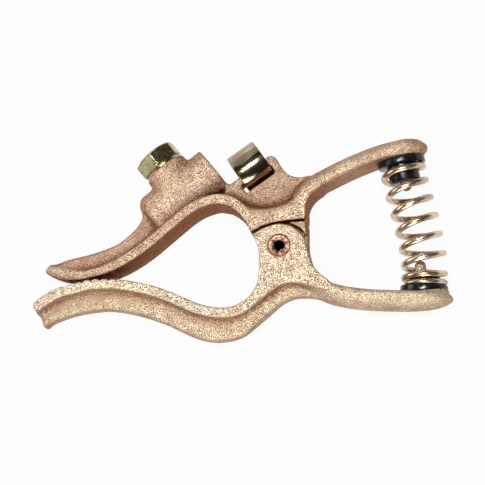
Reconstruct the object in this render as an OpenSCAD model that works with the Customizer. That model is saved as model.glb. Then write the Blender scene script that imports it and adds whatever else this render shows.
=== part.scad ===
// Spring-loaded bronze earth clamp: two cast arms crossing at a tubular rivet,
// a compression spring between the handles, a cable socket with its clamping
// bolt and a strap that holds the cable down on the saddle.
//
// Frame: the origin is the middle of the pivot. +Z runs along the pivot and out
// of the face seen when the clamp lies on its side, -X points along the jaws,
// +X along the handles. The socket is on the upper (+Y) arm.

/* [Cast arms] */
// Width of both castings, measured along the pivot
arm_w = 26; // [24:0.5:30]
// Reach of the upper jaw from the pivot to its nose
upper_jaw_reach = 108.5; // [98:0.5:118]
// Reach of the lower jaw from the pivot to its blunt end
lower_jaw_reach = 113; // [104:0.5:124]
// Reach of the upper handle from the pivot to its round end
upper_handle_reach = 67.5; // [64:0.5:76]
// Reach of the lower handle from the pivot to its round end
lower_handle_reach = 77.5; // [72:0.5:86]
// Thickness of the gripping flange along the jaws
flange_t = 4.6; // [3.5:0.1:5.5]
// Thickness of the gripping flange at the nose of the upper jaw
nose_t = 2.8; // [2:0.1:4]
// Thickness of the webs that stiffen the flanges
web_w = 11; // [8:0.5:14]
// Thickness of a handle at its middle
handle_t = 8.2; // [6.5:0.1:9.5]
// Depth of the jaw teeth
tooth_depth = 1; // [0.5:0.1:1.5]
// Distance from tooth to tooth
tooth_pitch = 4.1; // [3.5:0.1:5]
// Number of teeth on the lower jaw, one more than on the upper jaw
tooth_count = 6; // [3:1:7]

/* [Pivot] */
// Thickness of the upper arm's tongue between the two ears
tongue_w = 11.8; // [9:0.1:14]
// Gap on each side of the tongue
tongue_gap = 0.3; // [0.2:0.05:0.5]
// Radius of the tongue's round end about the pivot
tongue_r = 9.2; // [8:0.1:9.4]
// Radius of the ears' round tops about the pivot
ear_r = 10; // [9:0.1:10.1]
// Outer diameter of the rivet's shank
rivet_d = 7.8; // [6:0.1:9]
// Diameter of the hole through the rivet
rivet_hole_d = 4; // [3:0.1:5]
// Diameter of the rivet's flared rim
rivet_rim_d = 10.2; // [9.5:0.1:12]

/* [Cable socket and bolt] */
// Outer diameter of the socket barrel
barrel_d = 22; // [20:0.5:24]
// Diameter of the blind cable bore
socket_d = 14; // [11:0.5:15]
// Diameter of the socket's wider mouth
mouth_d = 15; // [14.4:0.1:16]
// Depth of the wider mouth
mouth_len = 10; // [6:0.5:10.4]
// Length of the barrel
barrel_len = 37.6; // [35:0.1:42]
// Metal left behind the blind bore
barrel_end_t = 4.8; // [4:0.1:9]
// Slope of the barrel's axis above +X, degrees
barrel_slope = 39; // [36:0.5:42]
// Diameter of the boss that the bolt screws into
boss_d = 20.4; // [19:0.2:21.2]
// Height of the boss above the barrel's side
boss_h = 3.9; // [3:0.1:6]
// Thread diameter of the bolt
bolt_d = 12.7; // [10:0.1:13]
// Width of the bolt's hexagon across its flats
hex_af = 19.05; // [17:0.05:20]
// Height of the bolt's head
hex_h = 7.4; // [6:0.1:9]
// Thickness of the split washer under the head
washer_t = 1.4; // [1:0.1:2]
// Outer diameter of the split washer
washer_d = 18.2; // [17:0.1:18.6]

/* [Cable strap] */
// Outer diameter of the strap's loop
strap_d = 19; // [18:0.2:20.4]
// Thickness of the strap's strip
strap_t = 1.5; // [1:0.1:2]
// Width of the strap's strip
strap_w = 14.4; // [12:0.2:15]

/* [Spring and its seats] */
// Diameter of the spring's wire
wire_d = 3; // [2.4:0.1:3.4]
// Outer diameter of the spring
spring_d = 21.6; // [20.6:0.1:22.4]
// Number of turns from end to end
spring_turns = 7.1; // [6.6:0.1:8.6]
// Diameter of each seat's flange
seat_d = 21.8; // [21:0.1:24]
// Thickness of each seat's flange
seat_t = 3.3; // [2.5:0.1:4]
// Diameter of each seat's hub inside the spring
hub_d = 14.4; // [12:0.1:14.6]
// Height of each seat's hub beyond its flange
hub_h = 6.2; // [5:0.5:8]
// Diameter of the cast pegs that carry the seats
peg_d = 5.2; // [4:0.1:6]
// Height of the pegs above the handles
peg_h = 15.4; // [13:0.1:16]

/* [Hidden] */
$fn = 64;

bronze = "#c9a27e";
zinc = "#c2b280";
copper = "#b5694a";
black = "#26262a";

half_w = arm_w / 2;
web_half = web_w / 2;
tongue_half = tongue_w / 2;
slot_half = tongue_half + tongue_gap;
slot_gap = 0.5;
// The tongue's heel on the handle side, and how low its room in the fork reaches
heel_r = 12.8;
heel_low = -45;
slot_r = tongue_r + slot_gap;
eps = 0.01;
over = 1;
// How deep the webs and pads are set into the flanges
sunk = 2;
steps = 4;
far = 60;

// ---- curves -------------------------------------------------------------

// A smooth curve through every point of p, with n steps between neighbours
function between(a, b, c, d, t) =
    0.5 * (2 * b + (c - a) * t + (2 * a - 5 * b + 4 * c - d) * t * t + (3 * b - a - 3 * c + d) * t * t * t);
function smooth(p, n = steps) = let (last = len(p) - 1) concat(
    [for (i = [0 : last - 1]) for (k = [0 : n - 1])
        between(p[max(i - 1, 0)], p[i], p[i + 1], p[min(i + 2, last)], k / n)],
    [p[last]]);
function unit(v) = v / norm(v);
function left_of(v) = [-v[1], v[0]];
// The unit normal of curve p at its point i, on the left of its direction
function normal_at(p, i) = left_of(unit(p[min(i + 1, len(p) - 1)] - p[max(i - 1, 0)]));
// Curve p moved sideways by t at its start, growing to t1 over its first share
function beside(p, t0, t1, share = 0.35) = [for (i = [0 : len(p) - 1])
    p[i] + normal_at(p, i) * (t0 + (t1 - t0) * min(1, i / (share * (len(p) - 1))))];
function reversed(p) = [for (i = [len(p) - 1 : -1 : 0]) p[i]];
// The points of curve q, backwards, whose fellows in curve p lie left of the station x
function part_left_of(x, p, q) = reversed([for (i = [0 : len(p) - 1]) if (p[i][0] < x) q[i]]);
// The height of curve p, which runs in x, at the station x
function height_at(p, x) = lookup(x, p);

// ---- outlines of the castings ---------------------------------------------

// The jaws stretch from this station to their ends, the handles from the other
jaw_root = 60;
handle_root = 20;
function upper_nose(f, y) = [-jaw_root - f * (upper_jaw_reach - jaw_root), y];
function lower_nose(f, y) = [-jaw_root - f * (lower_jaw_reach - jaw_root), y];
function upper_grip(f, y) = [handle_root + f * (upper_handle_reach - handle_root), y];
function lower_grip(f, y) = [handle_root + f * (lower_handle_reach - handle_root), y];

// Gripping side of the upper arm, from the nose over the throat to the shoulder
upper_inner = smooth([
    upper_nose(1, -8.6), upper_nose(0.9, -11.3), upper_nose(0.78, -12.9), upper_nose(0.6, -13.6),
    upper_nose(0.39, -11.4), upper_nose(0.19, -7), upper_nose(0, -0.9),
    [-52, 5.7], [-40.6, 15], [-34.2, 18.4], [-28, 19.8], [-22.5, 18.6], [-18, 15], [-14.8, 10.7],
    [-13, 6.6]]);
// The nose seen from above: half width along the jaw, and the corner cut away beside it
nose_plan = smooth([upper_nose(0.25, half_w + eps), upper_nose(0.4, 0.97 * half_w),
    upper_nose(0.55, 0.87 * half_w), upper_nose(0.68, 0.66 * half_w), upper_nose(0.8, 0.42 * half_w),
    upper_nose(0.9, 0.22 * half_w), upper_nose(0.97, 0.13 * half_w), upper_nose(1.01, 0.07 * half_w)]);
nose_corner = [upper_nose(1.1, 0.07 * half_w), upper_nose(1.1, half_w + 2), upper_nose(0.25, half_w + 2)];
nose_cut_down = 18;
nose_cut_up = 12;
upper_sunk = beside(upper_inner, 0.2, sunk);
// Ridge of the upper jaw's web, from the nose to the barrel, and its end inside the flange
in_barrel = [-60, 20];
under_barrel = [-50, 12];
upper_ridge = smooth([
    upper_nose(1, -8), upper_nose(0.95, -6.3), upper_nose(0.83, -3.9), upper_nose(0.56, -1.1),
    upper_nose(0.33, 2.9), upper_nose(0.19, 8), [-65.9, 11.6], [-64, 15.4], [-64.2, 20]]);
// The upper shoulder's lower edge, which stands over the ears' round tops
shoulder = [[-13, 6.6], [-8.6, 8.8], [-3.4, 10.4], [3.6, 11.5], [11, 12.1]];
// Side of the upper arm, from the shoulder up to the handle's inner face
upper_side = smooth([[12, 12.2], [12.2, 15.2], [12.1, 18.4], [13.2, 21.8], [15.6, 24.6], [19, 27]]);
// Where the full-width body ends and the recessed saddle web begins
throat_side = [[-28, 19.9], [-22.5, 18.7], [-18, 15.1], [-14.8, 10.8]];
saddle_line = smooth([[19, 31], [14.6, 29.2], [9.7, 25.6], [4.3, 20.9], [-2.1, 18.5], [-8.5, 17.9],
    [-15, 19.3], [-21.4, 22.6], [-27.8, 24.6]]);
upper_grip_inner = smooth([[12, 19.5], [15, 24], [19, 27], upper_grip(0.1, 30), upper_grip(0.25, 33.4),
    upper_grip(0.41, 36.6), upper_grip(0.57, 39.3), upper_grip(0.74, 41.3), upper_grip(0.89, 43),
    upper_grip(0.97, 44), upper_grip(1, 44.6)], 2);

// Gripping side of the lower arm, from the blunt end over the throat to the ear
lower_inner = smooth([
    lower_nose(1, -25), lower_nose(0.96, -23.2), lower_nose(0.85, -19.5), lower_nose(0.75, -17.3),
    lower_nose(0.65, -16.2), lower_nose(0.52, -14.4), lower_nose(0.36, -14.1), lower_nose(0.23, -14.6),
    lower_nose(0, -17),
    [-51.6, -19.8], [-46.9, -21.7], [-37.3, -26], [-28.9, -28], [-22.9, -27.9], [-18.2, -26.3],
    [-13.6, -23], [-10.4, -18.1], [-9.4, -13.6], [-9.1, -7.2], [-9.6, -0.8], [-12.2, 5.2]]);
lower_end = [lower_nose(0.98, -28.5), lower_nose(1, -26.6)];
lower_back = beside(lower_inner, -flange_t, -flange_t);
lower_sunk = beside(lower_inner, -sunk, -sunk);
// Keel of the lower arm's web, from the blunt end to the handle
lower_keel = smooth([
    lower_nose(0.985, -29), lower_nose(0.955, -33), lower_nose(0.938, -34.5), lower_nose(0.92, -34.8),
    lower_nose(0.84, -32.4), lower_nose(0.63, -28.8), lower_nose(0.36, -27.3), lower_nose(0.11, -29.6),
    [-53.7, -33.7], [-45.8, -37.5], [-37.9, -40.9], [-30.9, -42.3], [-24.7, -42.1], [-19, -40.6],
    [-14.3, -37.8], [-4.9, -29.9], [-0.2, -25.9], [4.5, -23.4], [9.1, -22.5], [17.9, -23.1], [22, -24]]);
// Tops of the ears: a short neck on the left, then round about the pivot
ear_top = concat([[-8.6, 6.8]],
    [for (a = [110 : -10 : 30]) ear_r * [cos(a), sin(a)]]);
// Side of the lower arm, from the ears down to the handle's inner face
lower_side = smooth([[11.6, 2.8], [12.6, -1.2], [14, -6.3], [15.6, -9.9], [18, -13], [21.6, -16]]);
// Where the full-width body ends and the recessed web begins; the web goes on inside
lower_line_end = -24;
lower_core = [[20, -15], [0, -14]];
lower_core_end = -18;
lower_line = smooth([[24, -20.6], [19.7, -20.2], [12.7, -18.4], [5.9, -17.2], [1.2, -18.1], [-3.4, -20.8],
    [-10.4, -26.3], [-15.9, -30.5], [-22, -32.6]]);
lower_grip_inner = smooth([[14, -10], [17.6, -13], [21.6, -16], lower_grip(0.1, -18), lower_grip(0.24, -19.7),
    lower_grip(0.4, -20.7), lower_grip(0.6, -21.2), lower_grip(0.78, -21.6), lower_grip(0.92, -22),
    lower_grip(0.98, -22.5), lower_grip(1, -23.2)], 2);

// The first notch of each jaw, on the throat's side
upper_teeth_from = -76;
lower_teeth_from = -74;

// ---- where things sit --------------------------------------------------

// Socket barrel: its axis runs beside the flange, at the barrel's radius from it
barrel_dir = [cos(barrel_slope), sin(barrel_slope)];
barrel_up = left_of(barrel_dir);
barrel_sink = 2.6;
barrel_foot = [-36.6, 16.8] + barrel_up * (flange_t + barrel_d / 2 - barrel_sink);
barrel_back = -19.8;
round_off = 3;
boss_edge = 0.8;
boss_at = 0.4;
boss_top = barrel_d / 2 + boss_h;
thread_gap = 0.1;
bolt_hole_r = bolt_d / 2 + thread_gap;
bolt_reach = 5;
bolt_tip = socket_d / 2 - bolt_reach;
washer_gap = 0.2;
washer_slit = 1.2;
hex_flat = 0.96 * hex_af;
hex_bevel = 60;

// The rivet's ends flare into the ears
flare_h = 1.6;
mouth_h = 3;
rim_lip = 0.8;
turning_gap = 0.08;
riveted_gap = 0.05;
ear_hole_d = rivet_d + 2 * riveted_gap;
rim_hole_d = rivet_rim_d + 2 * riveted_gap;
// The bolt head's turn about its own axis
hex_turn = 9;

// Saddle: a bar over a slot, in line with the strap
saddle_slope = 35;
saddle_dir = [cos(saddle_slope), sin(saddle_slope)];
saddle_up = left_of(saddle_dir);
ridge_h = 38;
saddle_bar_t = 3.6;
strap_at = 10.9;
strap_gap = 0.3;
strap_bore_r = strap_d / 2 - strap_t;
strap_mid = ridge_h - saddle_bar_t - strap_gap + sqrt(pow(strap_bore_r, 2) - pow(web_half, 2));
slot_foot = strap_mid - strap_d / 2 - strap_gap;
slot_margin_front = 1.6;
slot_margin_back = 0.3;
function on_saddle(v, w) = saddle_dir * v + saddle_up * w;
saddle_top = smooth([on_saddle(-4, ridge_h), on_saddle(8, ridge_h), on_saddle(18, ridge_h + 0.3),
    on_saddle(21, ridge_h - 0.2), on_saddle(22.4, ridge_h - 2.4), [1, 37], [4, 34], [8.5, 32.8], [13, 33.4]]);
saddle_core = [[18, 28], [4, 14], [-12, 15], [-26, 20]];

// Spring seats: the same distance from the end of each handle
seat_from_end = 12.4;
upper_seat_x = upper_handle_reach - seat_from_end;
lower_seat_x = lower_handle_reach - seat_from_end;
upper_seat_at = [upper_seat_x, height_at(upper_grip_inner, upper_seat_x)];
lower_seat_at = [lower_seat_x, height_at(lower_grip_inner, lower_seat_x)];
upper_seat_tilt = 11;
lower_seat_tilt = -1.5;
pad_t = 0.3;
pad_d = seat_d + 0.8;
peg_gap = 0.1;
spring_r = (spring_d - wire_d) / 2;
function seat_face(at, dir) = at + dir * (pad_t + seat_t);
upper_seat_dir = [sin(upper_seat_tilt), -cos(upper_seat_tilt)];
lower_seat_dir = [-sin(lower_seat_tilt), cos(lower_seat_tilt)];
spring_top = seat_face(upper_seat_at, upper_seat_dir);
spring_foot = seat_face(lower_seat_at, lower_seat_dir);

// ---- shapes shared by the nodes ------------------------------------------

// A plate of the given half thickness about the middle plane
module plate(half, points) {
    translate([0, 0, -half]) linear_extrude(2 * half) polygon(points);
}

// A solid through rings of equally many points, closed at both ends
module loft(rings) {
    count = len(rings[0]);
    last = len(rings) - 1;
    points = [for (ring = rings) each ring];
    sides = [for (i = [0 : last - 1]) for (k = [0 : count - 1])
        let (a = i * count + k, b = i * count + (k + 1) % count)
        each [[a, b, a + count], [b, b + count, a + count]]];
    ends = [for (k = [1 : count - 2]) each [[0, k + 1, k],
        [last * count, last * count + k, last * count + k + 1]]];
    polyhedron(points, concat(sides, ends));
}

// Sections of a handle: flat inside, arched outside, with a round end
edge_share = 0.28;
arch_steps = 12;
function grip_half(x, reach) = let (centre = reach - half_w)
    x <= centre ? half_w : max(0.9, sqrt(max(0, half_w * half_w - (x - centre) * (x - centre))));
function grip_ring(inner, outward, thick, half) = concat(
    [for (k = [0 : arch_steps]) let (a = 180 * k / arch_steps)
        let (p = inner + outward * thick * (edge_share + (1 - edge_share) * sin(a)))
        [p[0], p[1], -half * cos(a)]],
    [[inner[0], inner[1], half], [inner[0], inner[1], -half]]);
end_round = 14;
function grip_thick(x, reach) = let (d = min(end_round, reach - x + 0.6))
    handle_t * sqrt(1 - pow(1 - d / end_round, 2));
module grip(inner, reach, side) {
    last = len(inner) - 1;
    rings = [for (i = [0 : last]) let (x = inner[i][0])
        grip_ring(inner[i], side * normal_at(inner, i), grip_thick(x, reach), grip_half(x, reach))];
    loft(side > 0 ? reversed(rings) : rings);
}

// The spot face, the flat pad and the round-nosed peg that carry a spring seat
module spot_face(at, tilt) on_handle(at, tilt) translate([0, 0, pad_t]) cylinder(d = pad_d, h = seat_t);
module seat_peg(at, tilt) on_handle(at, tilt) {
    translate([0, 0, -sunk]) cylinder(d = pad_d, h = sunk + pad_t);
    cylinder(d = peg_d, h = peg_h - peg_d / 2);
    translate([0, 0, peg_h - peg_d / 2]) sphere(d = peg_d);
}

// Notches between the teeth, cut into a jaw along its gripping curve
module teeth(curve, from, count) {
    side = tooth_depth * sqrt(2);
    for (k = [0 : count]) {
        x = from - k * tooth_pitch;
        translate([x, height_at(curve, x), 0]) rotate([0, 0, 45])
            cube([side, side, arm_w + 2 * over], center = true);
    }
}

// ---- the pieces ----------------------------------------------------------

module upper_arm() color(bronze) difference() {
    union() {
        plate(half_w, concat(upper_inner, reversed(beside(upper_inner, nose_t, flange_t))));
        upper_body();
        upper_jaw_web();
        saddle();
        barrel();
        tongue();
        difference() {
            grip(upper_grip_inner, upper_handle_reach, 1);
            spot_face(upper_seat_at, 180 + upper_seat_tilt);
        }
        seat_peg(upper_seat_at, 180 + upper_seat_tilt);
    }
    cylinder(r = rivet_d / 2 + turning_gap, h = arm_w, center = true);
    barrel_frame() rotate([0, 90, 0]) {
        translate([0, 0, barrel_end_t]) cylinder(d = socket_d, h = barrel_len + over);
        translate([0, 0, barrel_len - mouth_len]) cylinder(d = mouth_d, h = mouth_len + over);
    }
    bolt_frame() cylinder(r = bolt_hole_r, h = boss_top + over);
    rotate([0, 0, saddle_slope]) translate([strap_at - strap_w / 2 - slot_margin_front, slot_foot, -half_w])
        cube([strap_w + slot_margin_front + slot_margin_back, ridge_h - saddle_bar_t - slot_foot, arm_w]);
    teeth(upper_inner, upper_teeth_from, tooth_count - 1);
    nose_cuts();
}
module nose_cuts() {
    for (side = [0, 1]) mirror([0, 0, side]) translate([0, -nose_cut_down, 0]) rotate([-90, 0, 0])
        linear_extrude(nose_cut_down + nose_cut_up)
            polygon([for (q = concat(nose_plan, nose_corner)) [q[0], -q[1]]]);
}

module lower_arm() color(bronze) difference() {
    union() {
        plate(half_w, concat(lower_end, lower_inner, ear_top, lower_side, lower_line,
            part_left_of(lower_line_end, lower_inner, lower_back)));
        plate(web_half, concat(lower_keel, lower_core,
            part_left_of(lower_core_end, lower_inner, lower_sunk)));
        difference() {
            grip(lower_grip_inner, lower_handle_reach, -1);
            spot_face(lower_seat_at, lower_seat_tilt);
        }
        seat_peg(lower_seat_at, lower_seat_tilt);
    }
    cylinder(r = slot_r, h = 2 * slot_half, center = true);
    intersection() {
        cylinder(r = heel_r + slot_gap, h = 2 * slot_half, center = true);
        plate(slot_half, [[0, 0], far * [cos(heel_low), sin(heel_low)], [far, far], [0, far]]);
    }
    translate([-far / 2, 0, -slot_half]) cube([far, far / 2, 2 * slot_half]);
    cylinder(d = ear_hole_d, h = arm_w + 2 * over, center = true);
    for (side = [0, 1]) mirror([0, 0, side]) translate([0, 0, half_w - flare_h])
        cylinder(d1 = ear_hole_d, d2 = rim_hole_d, h = flare_h + eps);
    teeth(lower_inner, lower_teeth_from, tooth_count);
}

module upper_body() {
    plate(half_w, concat(shoulder, upper_side, saddle_line, throat_side));
}
module upper_jaw_web() {
    plate(web_half, concat(upper_ridge, [in_barrel, under_barrel],
        part_left_of(under_barrel[0], upper_inner, upper_sunk)));
}
module saddle() {
    plate(web_half, concat(saddle_top, saddle_core));
}
module barrel_frame() {
    translate([barrel_foot[0], barrel_foot[1], 0]) rotate([0, 0, barrel_slope])
        translate([barrel_back, 0, 0]) children();
}
module barrel() {
    barrel_frame() {
        rotate([0, 90, 0]) {
            cylinder(d1 = barrel_d - 2 * round_off, d2 = barrel_d, h = round_off);
            translate([0, 0, round_off]) cylinder(d = barrel_d, h = barrel_len - round_off);
        }
    }
    bolt_frame() {
        cylinder(d = boss_d, h = boss_top - boss_edge);
        translate([0, 0, boss_top - boss_edge])
            cylinder(d1 = boss_d, d2 = boss_d - 2 * boss_edge, h = boss_edge);
    }
}
module bolt_frame() {
    barrel_frame() translate([-barrel_back + boss_at, 0, 0]) rotate([-90, 0, 0]) children();
}
module tongue() {
    cylinder(r = tongue_r, h = tongue_w, center = true);
    plate(tongue_half, [[-tongue_r, 0], [0, -2], heel_r * [cos(-7), sin(-7)], heel_r * [cos(7), sin(7)],
        [12.2, 14], [-12.6, 8.6], [-11.4, 6]]);
}

module pivot_rivet() color(copper) difference() {
    union() {
        cylinder(d = rivet_d, h = arm_w, center = true);
        for (side = [0, 1]) mirror([0, 0, side]) translate([0, 0, half_w - flare_h])
            cylinder(d1 = rivet_d, d2 = rivet_rim_d, h = flare_h);
    }
    cylinder(d = rivet_hole_d, h = arm_w + 2 * over, center = true);
    for (side = [0, 1]) mirror([0, 0, side]) translate([0, 0, half_w - mouth_h])
        cylinder(d1 = rivet_hole_d, d2 = rivet_rim_d - 2 * rim_lip, h = mouth_h + eps);
}

module on_handle(at, tilt) {
    translate([at[0], at[1], 0]) rotate([0, 0, tilt]) rotate([-90, 0, 0]) children();
}
module seat(at, tilt) color(black) on_handle(at, tilt) translate([0, 0, pad_t]) difference() {
    union() {
        cylinder(d = seat_d, h = seat_t);
        cylinder(d = hub_d, h = seat_t + hub_h);
    }
    translate([0, 0, -over]) cylinder(r = peg_d / 2 + peg_gap, h = seat_t + hub_h + 2 * over);
}
module upper_spring_seat() seat(upper_seat_at, 180 + upper_seat_tilt);
module lower_spring_seat() seat(lower_seat_at, lower_seat_tilt);

// The spring stands square on both seats, so its centre line bends between them
spring_gap = 0.1;
end_lift = wire_d / 2 + spring_gap;
centre_from = spring_foot + lower_seat_dir * end_lift;
centre_to = spring_top + upper_seat_dir * end_lift;
foot_turns = 0.9;
top_turns = 0.4;
closed_pitch = wire_d + 0.48;
bend_from = centre_from + lower_seat_dir * foot_turns * closed_pitch;
bend_to = centre_to + upper_seat_dir * top_turns * closed_pitch;
bend_reach = norm(bend_to - bend_from);
// Place and direction on the centre line at turn t: straight, bent, straight
function bend_at(u) = let (v = 1 - u)
    (v * v * (1 + 2 * u)) * bend_from + (u * u * (1 + 2 * v)) * bend_to
    + (u * v * v * bend_reach) * lower_seat_dir + (u * u * v * bend_reach) * upper_seat_dir;
bend_share = 0.01;
function bend_dir(u) = unit(bend_at(min(1, u + bend_share)) - bend_at(max(0, u - bend_share)));
open_turns = spring_turns - foot_turns - top_turns;
function centre_at(t) = t < foot_turns ? centre_from + lower_seat_dir * closed_pitch * t
    : t > spring_turns - top_turns ? centre_to + upper_seat_dir * closed_pitch * (spring_turns - t)
    : bend_at((t - foot_turns) / open_turns);
function dir_at(t) = t < foot_turns ? lower_seat_dir
    : t > spring_turns - top_turns ? -upper_seat_dir
    : bend_dir((t - foot_turns) / open_turns);
spring_start = 353;
function flat(v) = [v[0], v[1], 0];
function around(t) = let (a = spring_start + 360 * t, d = dir_at(t))
    [d[1], -d[0], 0] * cos(a) + [0, 0, -1] * sin(a);
function wire_at(t) = flat(centre_at(t)) + around(t) * spring_r;
rings_a_turn = 8;
wire_rings = round(spring_turns * rings_a_turn);
turns_gap = min([for (i = [0 : wire_rings - rings_a_turn + 2]) for (k = [i + rings_a_turn - 2 : wire_rings])
    if (k <= i + rings_a_turn + 2)
        norm(wire_at(i / rings_a_turn) - wire_at(k / rings_a_turn)) - wire_d]);
echo(str("least gap between the spring's turns, mm: ", turns_gap));
function wire_ring(t) = [for (k = [0 : 5]) let (a = 60 * k)
    wire_at(t) + (around(t) * cos(a) + flat(dir_at(t)) * sin(a)) * wire_d / 2];
module spring() color(zinc) loft([for (i = [0 : wire_rings]) wire_ring(i / rings_a_turn)]);

module cable_bolt() color(zinc) bolt_frame() {
    translate([0, 0, bolt_tip]) cylinder(d = bolt_d, h = boss_top + washer_t + over - bolt_tip);
    translate([0, 0, boss_top + washer_t]) rotate([0, 0, hex_turn]) intersection() {
        cylinder(d = hex_af / cos(30), h = hex_h, $fn = 6);
        cylinder(d1 = hex_flat + 2 * hex_h * tan(hex_bevel), d2 = hex_flat, h = hex_h);
    }
}
module lock_washer() color(zinc) bolt_frame() translate([0, 0, boss_top]) difference() {
    cylinder(d = washer_d, h = washer_t);
    translate([0, 0, -over]) cylinder(r = bolt_d / 2 + washer_gap, h = washer_t + 2 * over);
    translate([0, -washer_slit / 2, -over]) cube([washer_d, washer_slit, washer_t + 2 * over]);
}

module cable_strap() color(zinc) rotate([0, 0, saddle_slope]) translate([strap_at, strap_mid, 0])
    rotate([0, 90, 0]) difference() {
        cylinder(d = strap_d, h = strap_w, center = true);
        cylinder(r = strap_bore_r, h = strap_w + 2 * over, center = true);
    }

upper_arm();
lower_arm();
pivot_rivet();
spring();
upper_spring_seat();
lower_spring_seat();
cable_bolt();
lock_washer();
cable_strap();
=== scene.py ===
# %% [markdown]
# # A cast bronze spring clamp
#
# The clamp has nine pieces: two cast arms that cross at a tubular rivet, a compression
# spring on two black seats, and a bolt, a lock washer and a strap for an earth cable.
# This lesson dresses each of them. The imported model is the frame: it says where every
# piece is and which ones move together. Everything is in metres, with the pivot at the
# origin, the handles at +X and the socket at +Y.

# %% Load the frame
import bmesh
import bpy
import numpy as np
from mathutils import Matrix


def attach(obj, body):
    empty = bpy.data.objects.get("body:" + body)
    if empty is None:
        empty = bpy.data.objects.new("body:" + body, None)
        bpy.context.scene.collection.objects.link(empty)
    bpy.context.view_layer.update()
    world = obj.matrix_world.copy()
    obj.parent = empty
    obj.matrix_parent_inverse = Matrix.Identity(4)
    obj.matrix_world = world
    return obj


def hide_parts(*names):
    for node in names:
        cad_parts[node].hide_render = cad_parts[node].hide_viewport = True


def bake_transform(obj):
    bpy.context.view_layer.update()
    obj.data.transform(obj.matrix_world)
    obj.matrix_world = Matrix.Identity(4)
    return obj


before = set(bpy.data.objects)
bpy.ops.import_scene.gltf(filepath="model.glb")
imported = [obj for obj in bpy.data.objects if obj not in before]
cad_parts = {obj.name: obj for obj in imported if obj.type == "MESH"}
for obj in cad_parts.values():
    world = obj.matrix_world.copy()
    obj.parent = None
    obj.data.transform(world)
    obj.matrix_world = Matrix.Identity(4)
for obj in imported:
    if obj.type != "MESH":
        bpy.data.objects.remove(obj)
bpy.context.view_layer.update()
MM = 0.001
print("CAD nodes:", sorted(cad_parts))

# %% [markdown]
# ## Camera
#
# The view is almost straight down on the clamp's side, from a little below and a little
# to the right. So the camera stands over a point near the strap, leans by two small
# angles, and its lens follows from how many pixels a millimetre takes in the picture.

# %% Camera
LEAN_DOWN, LEAN_RIGHT = np.radians(9.7), np.radians(6.0)
CAMERA_DISTANCE = 1100.0
LOOK_AT = np.array([-17.94, 3.64, 0.0])
PIXELS_PER_MM = 2.2
IMAGE_SIDE = 485
SENSOR_WIDTH = 36.0
HALF_WIDTH = 13.0


def placed(name, data):
    """A new object in the scene, with the camera, lamp or mesh that is its data."""
    item = bpy.data.objects.new(name, data)
    bpy.context.collection.objects.link(item)
    return item


def stand(item, place, back, side):
    """Puts a camera or a lamp at a place, in metres, with its back to `back` and its
    height along `side`."""
    right = np.cross(side, back)
    right /= np.linalg.norm(right)
    pose = np.eye(4)
    pose[:3] = np.stack([right, np.cross(back, right), back, place], axis=1)
    item.matrix_world = Matrix(pose.tolist())


view_back = np.array([np.sin(LEAN_RIGHT), -np.sin(LEAN_DOWN), 0.0])
view_back[2] = np.sqrt(1 - view_back @ view_back)
camera_place = LOOK_AT + CAMERA_DISTANCE * view_back

camera_data = bpy.data.cameras.new("camera")
camera = placed("camera", camera_data)
stand(camera, camera_place * MM, view_back, (0, 1, 0))
camera_data.sensor_width = SENSOR_WIDTH
camera_data.lens = PIXELS_PER_MM * (CAMERA_DISTANCE - HALF_WIDTH * view_back[2]) / IMAGE_SIDE * SENSOR_WIDTH
camera_data.clip_end = 20
bpy.context.scene.camera = camera
print("lens in mm:", round(camera_data.lens, 1))

# %% [markdown]
# ## Curves and fields
#
# A sand casting has no sharp corners: every inner corner has a fillet, and every outer
# edge is a little round. Polygon modelling makes such blends one by one. Here each
# casting is a field instead, a number at every point of a fine grid that is negative
# inside the metal. Two fields join with a soft minimum, which leaves a fillet of any
# radius, and the surface is where the field is zero.

# %% Smooth curves
def smooth(points, steps=6):
    """A curve through all points. Between b and c it is the cubic with the slopes
    (c - a) / 2 at b and (d - b) / 2 at c, at `steps` even values of its parameter."""
    p = np.asarray(points, float)
    p = np.vstack([p[:1], p, p[-1:]])
    a, b, c, d = (p[i:len(p) - 3 + i, None] for i in range(4))
    t = (np.arange(steps) / steps)[None, :, None]
    mid = 0.5 * (2*b + (c - a)*t + (2*a - 5*b + 4*c - d)*t**2 + (3*b - a - 3*c + d)*t**3)
    return np.vstack([mid.reshape(-1, 2), p[-1:]])


def beside(curve, start, end, share=0.35):
    """The curve moved to its left by `start`, growing to `end` over its first share.
    Left is square to the chord between a point's neighbours."""
    ahead = np.vstack([curve[1:], curve[-1:]]) - np.vstack([curve[:1], curve[:-1]])
    ahead /= np.linalg.norm(ahead, axis=1, keepdims=True)
    left = np.stack([-ahead[:, 1], ahead[:, 0]], axis=1)
    along = np.linspace(0, 1, len(curve))[:, None]
    return curve + left * (start + (end - start) * np.minimum(1, along / share))


# %% A grid and distances on it
VOXEL = 0.55


class Grid:
    """Points of a box, `VOXEL` apart: X and Y are flat maps, and Z is a third axis."""

    def __init__(self, low, high):
        self.low = np.asarray(low, float)
        xs, ys, zs = (np.arange(a, b, VOXEL) for a, b in zip(low, high))
        self.X, self.Y = (m.astype(np.float32) for m in np.meshgrid(xs, ys, indexing="ij"))
        self.Z = zs.astype(np.float32)[None, None, :]


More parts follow.
